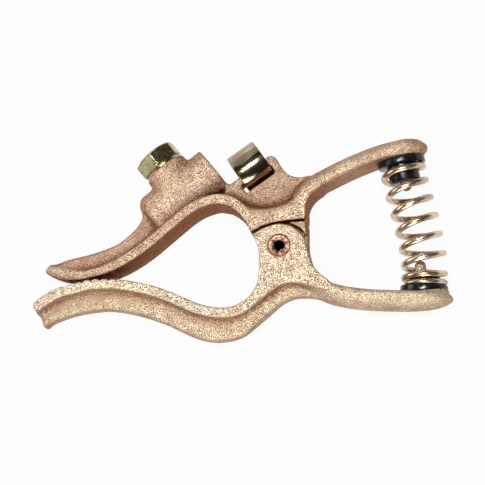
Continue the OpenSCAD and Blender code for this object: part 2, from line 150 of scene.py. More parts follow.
def inside_outline(outline, X, Y):
    """Signed distance to a closed outline: the least distance to any of its edges,
    negative where a line to the right crosses the outline an odd number of times."""
    near = np.full(X.shape, 1e9, np.float32)
    odd = np.zeros(X.shape, bool)
    for (ax, ay), (bx, by) in zip(outline, np.roll(outline, -1, axis=0)):
        dx, dy = bx - ax, by - ay
        share = np.clip(((X - ax)*dx + (Y - ay)*dy) / max(dx*dx + dy*dy, 1e-9), 0, 1)
        near = np.minimum(near, (X - ax - share*dx)**2 + (Y - ay - share*dy)**2)
        if ay != by:
            odd ^= ((Y < ay) != (Y < by)) & (X < ax + (Y - ay) * dx / dy)
    return np.sqrt(near) * np.where(odd, -1, 1)


def along_across(X, Y, foot, direction):
    """How far points lie from a foot along a direction, and how far to its left."""
    dx, dy = direction
    return (X - foot[0])*dx + (Y - foot[1])*dy, (Y - foot[1])*dx - (X - foot[0])*dy


def along_curve(curve, X, Y):
    """For each point: its signed distance to the left of an open curve, and the x
    of its foot on the curve, which runs on past both ends."""
    best = np.full(X.shape, 1e9, np.float32)
    offset, station = np.zeros(X.shape, np.float32), np.zeros(X.shape, np.float32)
    for i, (a, b) in enumerate(zip(curve[:-1], curve[1:])):
        size = np.linalg.norm(b - a)
        heading = (b - a) / size
        run, side = along_across(X, Y, a, heading)
        low = -1e9 if i == 0 else 0.0
        high = 1e9 if i == len(curve) - 2 else size
        held = np.clip(run, low, high)
        gap = side**2 + (run - held)**2
        closer = gap < best
        best = np.where(closer, gap, best)
        offset = np.where(closer, side, offset)
        station = np.where(closer, a[0] + held*heading[0], station)
    return offset, station


# %% Joining and cutting fields
SLANT = 0.7  # makes a sum of two distances the distance to a face at 45 degrees


def join(a, b, fillet=0.0):
    """Soft minimum: where the two fields differ by less than `fillet`, their blend
    lies below both by fillet * h * (1 - h), which fills the corner between them."""
    if fillet <= 0:
        return np.minimum(a, b)
    h = np.clip(0.5 + 0.5 * (b - a) / fillet, 0, 1)
    return b + (a - b) * h - fillet * h * (1 - h)


def cut(a, b, fillet=0.0):
    """What is in a and not in b, with the new edge rounded."""
    return -join(-a, b, fillet)


def rounded(a, b, edge):
    """What is in both fields. Each comes moved in by `edge`, and the distance to where
    they meet gives their common edge that radius."""
    return np.minimum(np.maximum(a, b), 0) + np.hypot(np.maximum(a, 0), np.maximum(b, 0)) - edge


def plate(grid, outline, half, edge):
    """A plate with half thickness `half`, its rim rounded by `edge`. The outline is a
    list of curves and points in a row."""
    flat = inside_outline(np.vstack(outline), grid.X, grid.Y)
    return rounded(flat[..., None] + edge, np.abs(grid.Z) - half + edge, edge)


def rod(grid, foot, direction, low, high, radius, edge=0.0):
    """A cylinder in the plane of the arms, from `low` to `high` along its axis."""
    run, side = along_across(grid.X, grid.Y, foot, direction)
    across = np.hypot(side[..., None], grid.Z) - radius + edge
    along = (np.abs(run - (low + high) / 2) - (high - low) / 2 + edge)[..., None]
    return rounded(across, along, edge)


def pin(grid, radius):
    """An endless cylinder along the pivot."""
    return (np.hypot(grid.X, grid.Y) - radius)[..., None]


# %% [markdown]
# ## From field to mesh
#
# Surface nets find the surface: each grid cell that the surface crosses gets one
# vertex, at the mean of the crossings on its twelve edges, and each grid edge that the
# surface crosses gets one face, between its four cells. All of it is whole-array work.

# %% Surface nets
def surface_of(field, low):
    """Vertices in metres and quads of the zero surface of a field on the grid."""
    inside = field < 0
    shape = np.array(field.shape) - 1
    total = np.zeros((*shape, 3), np.float32)
    count = np.zeros(shape, np.float32)
    near, far = slice(None, -1), slice(1, None)

    def ends(axis, others):
        """The two ends of the grid's edges along an axis, at slices of the other axes."""
        return (tuple(others[:axis] + [end] + others[axis:]) for end in (near, far))

    for axis in range(3):
        one, two = [k for k in range(3) if k != axis]
        for u, v in ((0, 0), (0, 1), (1, 0), (1, 1)):
            start, end = ends(axis, [(near, far)[u], (near, far)[v]])
            crossed = inside[start] != inside[end]
            drop = np.where(crossed, field[start] - field[end], 1)
            total[..., axis] += np.where(crossed, field[start] / drop, 0)
            total[..., one] += u * crossed
            total[..., two] += v * crossed
            count += crossed
    used = count > 0
    number = np.full(shape, -1, np.int64)
    number[used] = np.arange(used.sum())
    cells = np.argwhere(used)
    vertices = (cells + total[used] / count[used][:, None]) * VOXEL + low
    quads = []
    for axis in range(3):
        start, end = ends(axis, [slice(1, -1)] * 2)
        crossed = inside[start] != inside[end]
        at = np.argwhere(crossed) + np.array([k != axis for k in range(3)])
        step1, step2 = np.eye(3, dtype=int)[[(axis + 1) % 3, (axis + 2) % 3]]
        corners = (step1 + step2, step2, 0 * step1, step1)
        ring = np.stack([number[tuple((at - corner).T)] for corner in corners], axis=1)
        flip = ~inside[start][crossed]
        ring[flip] = ring[flip][:, ::-1]
        quads.append(ring)
    return vertices * MM, np.vstack(quads)


# %% What the field says near a vertex
def cells_of(field, vertices, low):
    """The grid point nearest to each vertex, as three index arrays."""
    cells = np.rint((vertices / MM - low) / VOXEL).astype(int)
    return tuple(np.clip(cells, 1, np.array(field.shape) - 2).T)


def metal_round(field, cells, reach):
    """The share of metal in a box of `reach` voxels each way round each cell: 1/2 on a
    flat face, more in an inner corner and less at an edge. Running sums give it."""
    share = (field < 0).astype(np.float32)
    for axis in range(3):
        pad = [(reach + 1, reach) if k == axis else (0, 0) for k in range(3)]
        total = np.moveaxis(np.cumsum(np.pad(share, pad, mode="edge"), axis=axis), axis, 0)
        share = np.moveaxis((total[2*reach + 1:] - total[:-2*reach - 1]) / (2*reach + 1), 0, axis)
    return share[cells]


def facing_up(field, cells):
    """How far the surface faces along the pivot: |z| of the field's unit slope."""
    slope = [field[tuple(c + (k == axis) for k, c in enumerate(cells))] -
             field[tuple(c - (k == axis) for k, c in enumerate(cells))] for axis in range(3)]
    return np.abs(slope[2]) / np.maximum(np.sqrt(sum(c * c for c in slope)), 1e-6)


# %% Arrays into a mesh
pieces = {}


def add_mesh(name, vertices, faces, body, replaced):
    """Puts arrays into a mesh object, shades it smooth and lets it ride on its body.
    `pieces` keeps it under the CAD node that it replaces."""
    mesh = bpy.data.meshes.new(name)
    mesh.from_pydata(vertices.tolist(), [], faces.tolist())
    mesh.validate()
    mesh.shade_smooth()
    piece = placed(name, mesh)
    if body:
        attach(piece, body)
    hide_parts(*replaced)
    pieces[replaced[0]] = piece
    print(name, len(vertices), "vertices", len(faces), "faces")
    return piece


# %% [markdown]
# ## The castings' outlines
#
# Both arms are T-shaped in section: a flange as wide as the clamp on the gripping side
# and a narrower web behind it. Their outlines are curves through a few measured points,
# the same as in the part's source, in millimetres from the pivot.

# %% Outlines of the upper arm
JAW_ROOT, UPPER_JAW, LOWER_JAW = -60.0, -108.5, -113.0
HANDLE_ROOT, UPPER_HANDLE, LOWER_HANDLE = 20.0, 67.5, 77.5


def jaw(end, *stations, root=JAW_ROOT):
    """Points on a jaw: each has its share of the way from the root to the end, and y."""
    return [(root + share * (end - root), y) for share, y in stations]


def handle(end, *stations):
    """The same on a handle."""
    return jaw(end, *stations, root=HANDLE_ROOT)


upper_inner = smooth(
    jaw(UPPER_JAW, (1, -8.6), (0.9, -11.3), (0.78, -12.9), (0.6, -13.6), (0.39, -11.4), (0.19, -7), (0, -0.9))
    + [(-52, 5.7), (-40.6, 15), (-34.2, 18.4), (-28, 19.8), (-22.5, 18.6), (-18, 15), (-14.8, 10.7),
       (-13, 6.6)])
upper_ridge = smooth(
    jaw(UPPER_JAW, (1, -8), (0.95, -6.8), (0.83, -4.2), (0.56, -1.1), (0.33, 2.9), (0.19, 8))
    + [(-65.9, 11.6), (-64, 15.4), (-64.2, 20)])
throat = [(-28, 19.9), (-22.5, 18.7), (-18, 15.1), (-14.8, 10.8)]
shoulder = [(-13, 6.6), (-8.6, 8.8), (-3.4, 10.4), (3.6, 11.5), (11, 12.1)]
stop_outline = [(5.0, 10.2), (6.3, 9.75), (7.9, 9.0), (9.6, 7.9), (11.1, 6.4), (12.2, 4.7),
                (12.2, 11.2), (5.0, 10.7)]
upper_side = smooth([(12, 12.2), (12.2, 15.2), (12.1, 18.4), (13.2, 21.8), (15.6, 24.6), (19, 27)])
saddle_line = smooth([(19, 31), (14.6, 29.2), (9.7, 25.6), (4.3, 20.9), (-2.1, 18.5), (-8.5, 17.9),
                      (-15, 19.3), (-21.4, 22.6), (-27.8, 24.6)])
upper_grip = smooth([(12, 19.5), (15, 24), (19, 27)] + handle(
    UPPER_HANDLE, (0.1, 30), (0.25, 33.4), (0.41, 36.6), (0.57, 39.3), (0.74, 41.3), (0.89, 43), (0.97, 44),
    (1, 44.6)))
nose_plan = np.array(jaw(
    UPPER_JAW, (0.25, 13), (0.4, 12.6), (0.55, 11.3), (0.68, 8.6), (0.8, 5.5), (0.9, 2.9), (0.97, 1.7),
    (1.01, 0.9)))
print("upper gripping curve:", len(upper_inner), "points")

# %% Outlines of the lower arm
lower_inner = smooth(
    jaw(LOWER_JAW, (1, -25), (0.96, -23.2), (0.85, -19.5), (0.75, -17.3), (0.65, -16.2),
        (0.52, -14.4), (0.36, -14.1), (0.23, -14.6), (0, -17))
    + [(-51.6, -19.8), (-46.9, -21.7), (-37.3, -26), (-28.9, -28), (-22.9, -27.9), (-18.2, -26.3),
       (-13.6, -23), (-10.4, -18.1), (-9.4, -13.6), (-9.1, -7.2), (-9.6, -0.8), (-12.2, 5.2)])
lower_end = jaw(LOWER_JAW, (0.98, -28.5), (1, -26.6))
lower_keel = smooth(
    jaw(LOWER_JAW, (0.985, -27.5), (0.966, -29.5), (0.951, -31.5), (0.939, -33.3), (0.928, -34.8),
        (0.905, -34.8), (0.84, -32.4), (0.63, -28.8), (0.36, -27.3), (0.11, -29.6))
    + [(-53.7, -33.7), (-45.8, -37.5), (-37.9, -40.9), (-30.9, -42.3), (-24.7, -42.1), (-19, -40.6),
       (-14.3, -37.8), (-4.9, -29.9), (-0.2, -25.9), (4.5, -23.4), (9.1, -22.5), (17.9, -23.1), (22, -24)])
EAR_RADIUS, EAR_HEEL_RADIUS = 10.0, 11.2
ear_turn = np.radians(np.arange(110, 29, -10))
ear_reach = np.interp(ear_turn, np.radians([30, 70]), [EAR_HEEL_RADIUS, EAR_RADIUS])[:, None]
ear_arc = ear_reach * np.stack([np.cos(ear_turn), np.sin(ear_turn)], axis=1)
ear_top = np.vstack([[(-9.4, 6.9), (-8.2, 7.75), (-5.8, 8.6)], ear_arc])
lower_side = smooth([(11.6, 2.8), (12.6, -1.2), (14, -6.3), (15.6, -9.9), (18, -13), (21.6, -16)])
lower_line = smooth([(24, -20.6), (19.7, -20.2), (12.7, -18.4), (5.9, -17.2), (1.2, -18.1), (-3.4, -20.8),
                     (-10.4, -26.3), (-15.9, -30.5), (-22, -32.6)])
lower_grip = smooth([(14, -10), (17.6, -13), (21.6, -16)] + handle(
    LOWER_HANDLE, (0.1, -18), (0.24, -19.7), (0.4, -20.7), (0.6, -21.2), (0.78, -21.6), (0.92, -22),
    (0.98, -22.2), (1, -22.3)))
print("lower gripping curve:", len(lower_inner), "points")

# %% [markdown]
# ## Parts that both arms share
#
# The handles are D-shaped: flat where the spring stands, arched where the hand holds
# them, and round at the end. The teeth are V notches across the jaw's last stretch. A
# round-nosed peg on a low pad carries each spring seat.

# %% Handles and pegs
FLANGE, NOSE_FLANGE, WEB_HALF = 4.6, 2.8, 5.5
HANDLE_THICK, HANDLE_EDGE, HANDLE_ROUND, TAPER_LENGTH = 8.2, 2.3, 2.6, 26
PEG_RADIUS, PEG_HEIGHT, PEG_ROOT, PAD_RADIUS, PAD_HEIGHT, PAD_ROOT = 2.6, 15.4, -3, 11.3, 0.3, -2
SEAT_FROM_END, SEAT_ROOM = 12.4, 12


def handle_field(grid, curve, reach, side, taper):
    """A dome over the plan of the handle: with r the distance from its middle line and
    d the height over its flat face, (r / 13)^2 + ((d - edge) / arch)^2 = 1. The arch
    loses a share `taper` of its height over its last 26 mm. `side` is 1 for a handle
    on the left of its curve and -1 for one on the right."""
    offset, station = along_curve(curve, grid.X, grid.Y)
    d = (side * offset)[..., None]
    r = np.hypot(np.maximum(station - (reach - HALF_WIDTH), 0)[..., None], grid.Z)
    late = np.clip((station - reach) / TAPER_LENGTH + 1, 0, 1)[..., None]
    arch = (HANDLE_THICK - HANDLE_EDGE) * (1 - taper * late**2)
    up = np.maximum(d - HANDLE_EDGE, 0)
    share = np.hypot(r / HALF_WIDTH, up / arch)
    slope = np.hypot(r / HALF_WIDTH**2, up / arch**2) + 1e-6
    dome = share * (share - 1) / slope
    root = curve[1] - curve[0]
    before = -along_across(grid.X, grid.Y, curve[0], root)[0] / np.linalg.norm(root)
    return np.maximum(cut(dome, d, HANDLE_ROUND), before[..., None])


def seat_of(curve, reach):
    """Where a spring seat stands on its handle."""
    x = reach - SEAT_FROM_END
    return np.array([x, np.interp(x, curve[:, 0], curve[:, 1])])


def peg_field(grid, foot, direction):
    """A peg with a round nose on a low pad; both start inside the handle."""
    peg = rod(grid, foot, direction, PEG_ROOT, PEG_HEIGHT, PEG_RADIUS, PEG_RADIUS * 0.96)
    pad = rod(grid, foot, direction, PAD_ROOT, PAD_HEIGHT, PAD_RADIUS, 0.3)
    return join(peg, pad, 0.8)


def with_handle(grid, metal, grip, seat, seat_dir, peg_dir):
    """Joins to the metal a handle, which is cut flat under the spring's seat, and the
    seat's peg, and trims all of it to the clamp's width."""
    grip = cut(grip, rod(grid, seat, seat_dir, PAD_HEIGHT, SEAT_ROOM, PAD_RADIUS))
    metal = join(metal, grip, 1.5)
    metal = join(metal, peg_field(grid, seat, peg_dir), 0.5)
    return np.maximum(metal, np.abs(grid.Z) - HALF_WIDTH)


# %% Teeth
TOOTH_PITCH, TOOTH_DEPTH = 4.1, 1.0


def teeth_field(grid, curve, first, count):
    """Square bars on edge, a pitch apart along the jaw from x = first, that cut `count`
    teeth between them."""
    field = np.full(grid.X.shape, 1e3, np.float32)
    for k in range(count + 1):
        x = first - k * TOOTH_PITCH
        y = np.interp(x, curve[:, 0], curve[:, 1])
        field = np.minimum(field, (np.abs(grid.X - x) + np.abs(grid.Y - y) - TOOTH_DEPTH) * SLANT)
    return field[..., None]


# %% Seats, from which the spring takes its ends
def leaning(degrees):
    """The direction +Y, leaning back towards -X."""
    return np.array([-np.sin(np.radians(degrees)), np.cos(np.radians(degrees))])


upper_seat, lower_seat = seat_of(upper_grip, UPPER_HANDLE), seat_of(lower_grip, LOWER_HANDLE)
upper_seat_dir = -leaning(11)
lower_seat_dir, lower_peg_dir = leaning(-1.5), leaning(7)
print("seats at", upper_seat.round(1), lower_seat.round(1))

# %% From a field to a casting
CROWD_REACH, HOLLOW_REACH = 5, 11
RECESS_FROM, RECESS_SPAN = 12.6, 4.6
STRIP_WIDE_AT, STRIP_END, STRIP_FADE = -75, -84, 4


def recess_of(vertices, curve):
    """How far each vertex lies below the clamp's side faces, 1 at 5 mm and more. Near
    the jaw's end, where the flange itself gets narrow, its strip still counts as 0: it
    reaches 2.8 mm from the gripping curve at the tip and 4.6 mm at the teeth."""
    x, y, z = (vertices / MM).T
    below = np.clip((RECESS_FROM - np.abs(z)) / RECESS_SPAN, 0, 1)
    strip = np.interp(x, (UPPER_JAW, STRIP_WIDE_AT), (NOSE_FLANGE, FLANGE))
    past_strip = np.abs(along_curve(curve, x, y)[0]) - strip
    return below * np.maximum(np.clip(past_strip, 0, 1), np.clip((x - STRIP_END) / STRIP_FADE, 0, 1))


def keep_value(piece, label, values):
    """Keeps a number at each vertex, for the piece's material to read."""
    kept = piece.data.attributes.new(label, "FLOAT", "POINT")
    kept.data.foreach_set("value", values.astype(np.float32))


def add_casting(name, field_on, low, high, node, curve):
    """The mesh of a casting. It keeps at each vertex how much metal is near, within
    2.8 mm as "crowd" and within 6 mm as "hollow", how far it faces up as "level", and
    how far it lies below the side faces as "recess"."""
    grid = Grid(low, high)
    field = field_on(grid)
    vertices, faces = surface_of(field, grid.low)
    cells = cells_of(field, vertices, grid.low)
    casting = add_mesh(name, vertices, faces, node, [node])
    for label, values in (("crowd", metal_round(field, cells, CROWD_REACH)),
                          ("hollow", metal_round(field, cells, HOLLOW_REACH)),
                          ("level", facing_up(field, cells)), ("recess", recess_of(vertices, curve))):
        keep_value(casting, label, values)
        print(label, values.mean().round(2), np.percentile(values, (2, 98)).round(2))


# %% [markdown]
# ## Upper arm
#
# It carries the socket's barrel with the bolt's boss, the saddle with the strap's slot
# and the tongue that turns between the other arm's ears. Big fillets run from the
# barrel and the ridge into the flange, as molten metal needs.

# %% Upper arm: where its parts stand
BARREL_RADIUS, SOCKET_RADIUS, MOUTH_RADIUS, BARREL_LENGTH, BARREL_END = 11.0, 7.0, 7.5, 37.6, 4.8
MOUTH_DEPTH, BOSS_RADIUS, BOSS_HEIGHT, BOLT_RADIUS = 10.0, 10.2, 3.9, 6.35
BARREL_TOUCH, BARREL_SUNK, BARREL_BEHIND, BOLT_ALONG = np.array([-36.6, 16.8]), 2.6, 19.8, 20.2
RIDGE, SADDLE_BAR, STRAP_AT, STRAP_RADIUS, STRAP_THICK, STRAP_WIDTH = 38.0, 3.6, 10.9, 9.5, 1.5, 14.4
STRAP_PLAY, STRAP_SLOT_PLAY, STRAP_SLOT_SHIFT = 0.3, 0.95, 0.65
BOSS_TOP = BARREL_RADIUS + BOSS_HEIGHT


def directions(slope):
    """Unit vectors along a slope, which is in degrees, and square to it."""
    along = np.array([np.cos(np.radians(slope)), np.sin(np.radians(slope))])
    return along, np.array([-along[1], along[0]])


barrel_dir, barrel_up = directions(39)
saddle_dir, saddle_up = directions(35)
barrel_back = BARREL_TOUCH + barrel_up * (FLANGE + BARREL_RADIUS - BARREL_SUNK) - BARREL_BEHIND * barrel_dir
bolt_foot = barrel_back + BOLT_ALONG * barrel_dir
strap_mid = RIDGE - SADDLE_BAR - STRAP_PLAY + np.sqrt((STRAP_RADIUS - STRAP_THICK)**2 - WEB_HALF**2)
print("bolt stands at", bolt_foot.round(1), "and the strap's middle is", strap_mid.round(1), "up")

# %% Upper arm: plates
def on_saddle(v, w):
    """The point v along the saddle and w above it, from the pivot."""
    return tuple(saddle_dir * v + saddle_up * w)


saddle_outline = np.vstack([smooth(
    [on_saddle(-4, RIDGE), on_saddle(8, RIDGE), on_saddle(18, RIDGE + 0.3), on_saddle(21, RIDGE - 0.2),
     on_saddle(22.4, RIDGE - 2.4), (1, 37), (4, 34), (8.5, 32.8), (13, 33.4)]),
    [(18, 28), (4, 14), (-12, 15), (-26, 20)]])
tongue_outline = [(-9.2, 0), (0, -2), (12.7, -1.56), (12.7, 1.56), (12.2, 14), (-12.6, 8.6), (-11.4, 6)]
TONGUE_RADIUS, TONGUE_HALF, STOP_HALF = 9.2, 5.9, 12.3


def upper_plates(grid, half):
    """Flange and ridge of the jaw, the body over the pivot with its sloping sides, the
    stop behind the ears, and the saddle."""
    flange = plate(grid, [upper_inner, beside(upper_inner, NOSE_FLANGE, FLANGE)[::-1]], half, 1.0)
    web_foot = beside(upper_inner, 0.2, 2)[upper_inner[:, 0] < -52][::-1]
    ridge = plate(grid, [upper_ridge, [(-60, 20), (-50, 12)], web_foot], np.minimum(WEB_HALF, half), 2.2)
    body = plate(grid, [shoulder, upper_side, saddle_line, throat], HALF_WIDTH, 0.5)
    past = along_curve(saddle_line, grid.X, grid.Y)[0]
    body = cut(body, (past[..., None] + HALF_WIDTH - np.abs(grid.Z) - 2.5) * SLANT, 2.0)
    body = join(body, plate(grid, [stop_outline], STOP_HALF, 0.5))
    metal = join(join(flange, ridge, 5.0), body, 0.8)
    return join(metal, plate(grid, [saddle_outline], WEB_HALF, 1.2), 4.5)


# %% Upper arm: barrel, holes and slot
THROUGH, BOLT_THROUGH = 90, 40


def barrel_field(grid):
    """The barrel, whose closed end has a big radius, with the bolt's boss on it."""
    barrel = rod(grid, barrel_back, barrel_dir, 0, BARREL_LENGTH, BARREL_RADIUS, 0.6)
    barrel = np.maximum(barrel, rod(grid, barrel_back, barrel_dir, 0, THROUGH, BARREL_RADIUS, 4.0))
    return join(barrel, rod(grid, bolt_foot, barrel_up, 0, BOSS_TOP, BOSS_RADIUS, 0.7), 2.2)


def drilled(grid, metal):
    """The metal with the socket, its wider mouth and the bolt's hole cut out."""
    metal = cut(metal, rod(grid, barrel_back, barrel_dir, BARREL_END, THROUGH, SOCKET_RADIUS), 0.4)
    mouth_from = BARREL_LENGTH - MOUTH_DEPTH
    metal = cut(metal, rod(grid, barrel_back, barrel_dir, mouth_from, THROUGH, MOUTH_RADIUS), 0.4)
    return cut(metal, rod(grid, bolt_foot, barrel_up, 0, BOLT_THROUGH, BOLT_RADIUS + 0.15), 0.3)


def strap_slot(grid):
    """The slot under the saddle's bar, in which the strap hangs."""
    v, w = along_across(grid.X, grid.Y, (0, 0), saddle_dir)
    top, foot = RIDGE - SADDLE_BAR, strap_mid - STRAP_RADIUS - STRAP_PLAY
    along = np.abs(v - STRAP_AT + STRAP_SLOT_SHIFT) - STRAP_WIDTH / 2 - STRAP_SLOT_PLAY
    return np.maximum(along, np.abs(w - (top + foot) / 2) - (top - foot) / 2)[..., None]


# %% Upper arm: field
UPPER_BORE, SMOOTH_EDGE = 3.98, 1.6


def upper_field(grid):
    """The whole upper arm: plates, barrel, tongue and handle, and then what is cut."""
    half = np.interp(grid.X, nose_plan[::-1, 0], nose_plan[::-1, 1])[..., None]
    metal = join(upper_plates(grid, half), barrel_field(grid), 2.6)
    tongue = np.minimum(pin(grid, TONGUE_RADIUS), plate(grid, [tongue_outline], 50, 0.3))
    metal = join(metal, np.maximum(tongue, np.abs(grid.Z) - TONGUE_HALF), 0.4)
    grip = handle_field(grid, upper_grip, UPPER_HANDLE + 0.8, 1, 0.0)
    metal = with_handle(grid, metal, grip, upper_seat, upper_seat_dir, upper_seat_dir)
    metal = cut(drilled(grid, metal), strap_slot(grid), 1.0)
    teeth = teeth_field(grid, upper_inner, -76, 5)
    metal = cut(metal, np.maximum(teeth, np.abs(grid.Z) - half + SMOOTH_EDGE), 0.3)
    return cut(metal, pin(grid, UPPER_BORE))


# %% Upper arm: mesh
add_casting("cast_upper_arm", upper_field, (-109.5, -16, -14.6), (70, 65, 15.1), "upper_arm", upper_inner)

# %% [markdown]
# ## Lower arm
#
# The lower arm ends in a fork. Its two ears take the tongue between them, and their
# round tops turn under the upper arm's shoulder.

# %% Lower arm: field
SLOT_HALF, LOWER_BORE, COUNTERSINK = 6.2, 3.95, 1.6
ROOM_RADIUS, HEEL_RADIUS = 9.7, 13.3


def tongue_room(grid):
    """The slot between the ears, flat: a circle and all above it for the tongue, and a
    wider arc on the handle's side for the body behind it."""
    X, Y = grid.X, grid.Y
    room = np.minimum(np.hypot(X, Y) - ROOM_RADIUS, np.maximum(-Y, np.abs(X) - 60))
    heel = np.maximum(np.hypot(X, Y) - HEEL_RADIUS, -(Y + X) * 0.7071)
    heel = np.maximum(heel, -X)
    return np.minimum(room, heel)[..., None]


def lower_field(grid):
    """The whole lower arm: plate, web and handle, and then what is cut: the slot, the
    teeth and the rivet's hole, which opens in a countersink at both ears."""
    flange_back = beside(lower_inner, -FLANGE, -FLANGE)[lower_inner[:, 0] < -24][::-1]
    outline = [lower_end, lower_inner, ear_top, lower_side, lower_line, flange_back]
    web_foot = beside(lower_inner, -2, -2)[(lower_inner[:, 0] < -14) & (lower_inner[:, 1] < -10)][::-1]
    web = plate(grid, [lower_keel, [(20, -15), (0, -14)], web_foot], WEB_HALF, 2.4)
    metal = join(plate(grid, outline, HALF_WIDTH, 0.6), web, 3.0)
    grip = handle_field(grid, lower_grip, LOWER_HANDLE + 1.0, -1, 0.45)
    metal = with_handle(grid, metal, grip, lower_seat, lower_seat_dir, lower_peg_dir)
    metal = cut(metal, np.maximum(tongue_room(grid), np.abs(grid.Z) - SLOT_HALF), 0.3)
    metal = cut(metal, teeth_field(grid, lower_inner, -74, 6), 0.3)
    metal = cut(metal, pin(grid, LOWER_BORE))
    flare = LOWER_BORE + np.clip(np.abs(grid.Z) - (HALF_WIDTH - COUNTERSINK), 0, 3)
    return cut(metal, (pin(grid, 0) - flare) * 0.8)


# %% Lower arm: mesh
add_casting("cast_lower_arm", lower_field, (-115, -44.5, -14.6), (80, 11.5, 15.1), "lower_arm", lower_inner)

# %% [markdown]
# ## Surfaces on a grid
#
# The other pieces are turned, drawn or bent from stock, so each is a sheet over two
# parameters: a ring of points carried along a path.

# %% Rings to mesh
def tube(name, rings, body, replaced, closed_path=False):
    """Joins rings of equally many points, an array (rings, points, 3) in mm. Open ends
    are closed by a fan to the middle of the last ring."""
    count, sides = rings.shape[:2]
    ring = np.arange(count if closed_path else count - 1)[:, None] * sides
    after = (ring + sides) % (count * sides)
    k = np.arange(sides)
    on = (k + 1) % sides
    faces = np.stack([ring + k, ring + on, after + on, after + k], axis=-1).reshape(-1, 4)
    points = rings.reshape(-1, 3)
    if not closed_path:
        first, last, end = len(points), len(points) + 1, (count - 1) * sides
        points = np.vstack([points, rings[0].mean(0), rings[-1].mean(0)])
        low = np.stack([on, k, np.full(sides, first)], axis=1)
        high = np.stack([end + k, end + on, np.full(sides, last)], axis=1)
        faces = np.vstack([faces[:, [0, 1, 2]], faces[:, [0, 2, 3]], low, high])
    return add_mesh(name, points * MM, faces, body, replaced)


def full_turn(count):
    """Equal steps of angle, once round."""
    return np.linspace(0, 2 * np.pi, count, endpoint=False)


def in_plane(point):
    """A point or direction in the arms' middle plane, in space."""
    return np.array([point[0], point[1], 0.0])


def turned(profile, foot, direction, angles):
    """A profile of (radius, height) turned round an axis in the plane of the arms.
    Each ring is foot + direction * height + radius * (side * cos a + z * sin a), and
    radius and height may themselves change with the angle a."""
    foot, d = in_plane(foot), in_plane(direction)
    side, z = np.array([d[1], -d[0], 0.0]), np.array([0.0, 0.0, 1.0])
    spokes = np.cos(angles)[:, None] * side + np.sin(angles)[:, None] * z
    return np.stack([foot + d * np.reshape(h, (-1, 1)) + spokes * np.reshape(r, (-1, 1)) for r, h in profile])


# %% [markdown]
# ## Spring
#
# Yellow zinc wire, 3 mm thick, in 7.1 right-handed turns, whose end turns lie close
# and flat on their seats. The centre line leaves both seats square and bends between.
# Below the first turn the wire winds on into the lower seat and is ground off flat there.

# %% Spring: its middle line
WIRE_RADIUS, COIL_RADIUS, TURNS, CLOSED_PITCH = 1.5, 9.3, 7.1, 3.48
FOOT_TURNS, TOP_TURNS, START_ANGLE, GROUND_TURNS = 0.9, 0.4, 353, 0.38
SEAT_THICK, WIRE_RINGS, WIRE_SIDES, GROUND_PLAY = 3.3, 355, 16, 0.03
lift = PAD_HEIGHT + SEAT_THICK + WIRE_RADIUS + 0.1
coil_from, coil_to = lower_seat + lower_seat_dir * lift, upper_seat + upper_seat_dir * lift
bend_from = coil_from + lower_seat_dir * CLOSED_PITCH * FOOT_TURNS
bend_to = coil_to + upper_seat_dir * CLOSED_PITCH * TOP_TURNS
bend_reach = np.linalg.norm(bend_to - bend_from)


def middle_line(t):
    """The coil's middle after t turns: straight along each seat's axis for the end turns
    and, as u goes from 0 to 1 between them, the cubic (1 - u)^2 (1 + 2 u) from +
    u^2 (3 - 2 u) to + the two slopes along those axes."""
    u = np.clip((t - FOOT_TURNS) / (TURNS - FOOT_TURNS - TOP_TURNS), 0, 1)
    v = 1 - u
    bend = (v*v*(1 + 2*u) * bend_from + u*u*(1 + 2*v) * bend_to
            + u*v*v * bend_reach * lower_seat_dir + u*u*v * bend_reach * upper_seat_dir)
    near_top = np.where(t > TURNS - TOP_TURNS, coil_to + upper_seat_dir * CLOSED_PITCH * (TURNS - t), bend)
    return np.where(t < FOOT_TURNS, coil_from + lower_seat_dir * CLOSED_PITCH * t, near_top)


print("the bend between the end turns is", bend_reach.round(1), "mm long")

# %% Spring: its wire
def spring_rings():
    """Rings of the wire. Its centre is middle line + 9.3 * (side * cos a - z * sin a),
    and what would reach below the seat's face is laid flat on it."""
    t = np.linspace(-GROUND_TURNS, TURNS, WIRE_RINGS)[:, None]
    level = np.zeros(len(t))
    line = middle_line(t)
    heading = np.gradient(line, axis=0)
    heading /= np.linalg.norm(heading, axis=1, keepdims=True)
    heading = np.column_stack([heading, level])
    side = np.column_stack([heading[:, 1], -heading[:, 0], level])
    a = np.radians(START_ANGLE + 360 * t)
    out = side * np.cos(a) + np.array([0, 0, -1.0]) * np.sin(a)
    wire = np.column_stack([line, level]) + out * COIL_RADIUS
    b = full_turn(WIRE_SIDES)[None, :, None]
    rings = wire[:, None] + (out[:, None] * np.cos(b) + heading[:, None] * np.sin(b)) * WIRE_RADIUS
    seat_normal = in_plane(lower_seat_dir)
    sunk = PAD_HEIGHT + SEAT_THICK + GROUND_PLAY - (rings - in_plane(lower_seat)) @ seat_normal
    return rings + np.maximum(sunk, 0)[..., None] * seat_normal


spring = tube("spring_wire", spring_rings(), None, ["spring"])
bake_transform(spring)

# %% Spring seats
HUB_RADIUS, SEAT_RADIUS, SIDES = 7.2, 10.9, 96


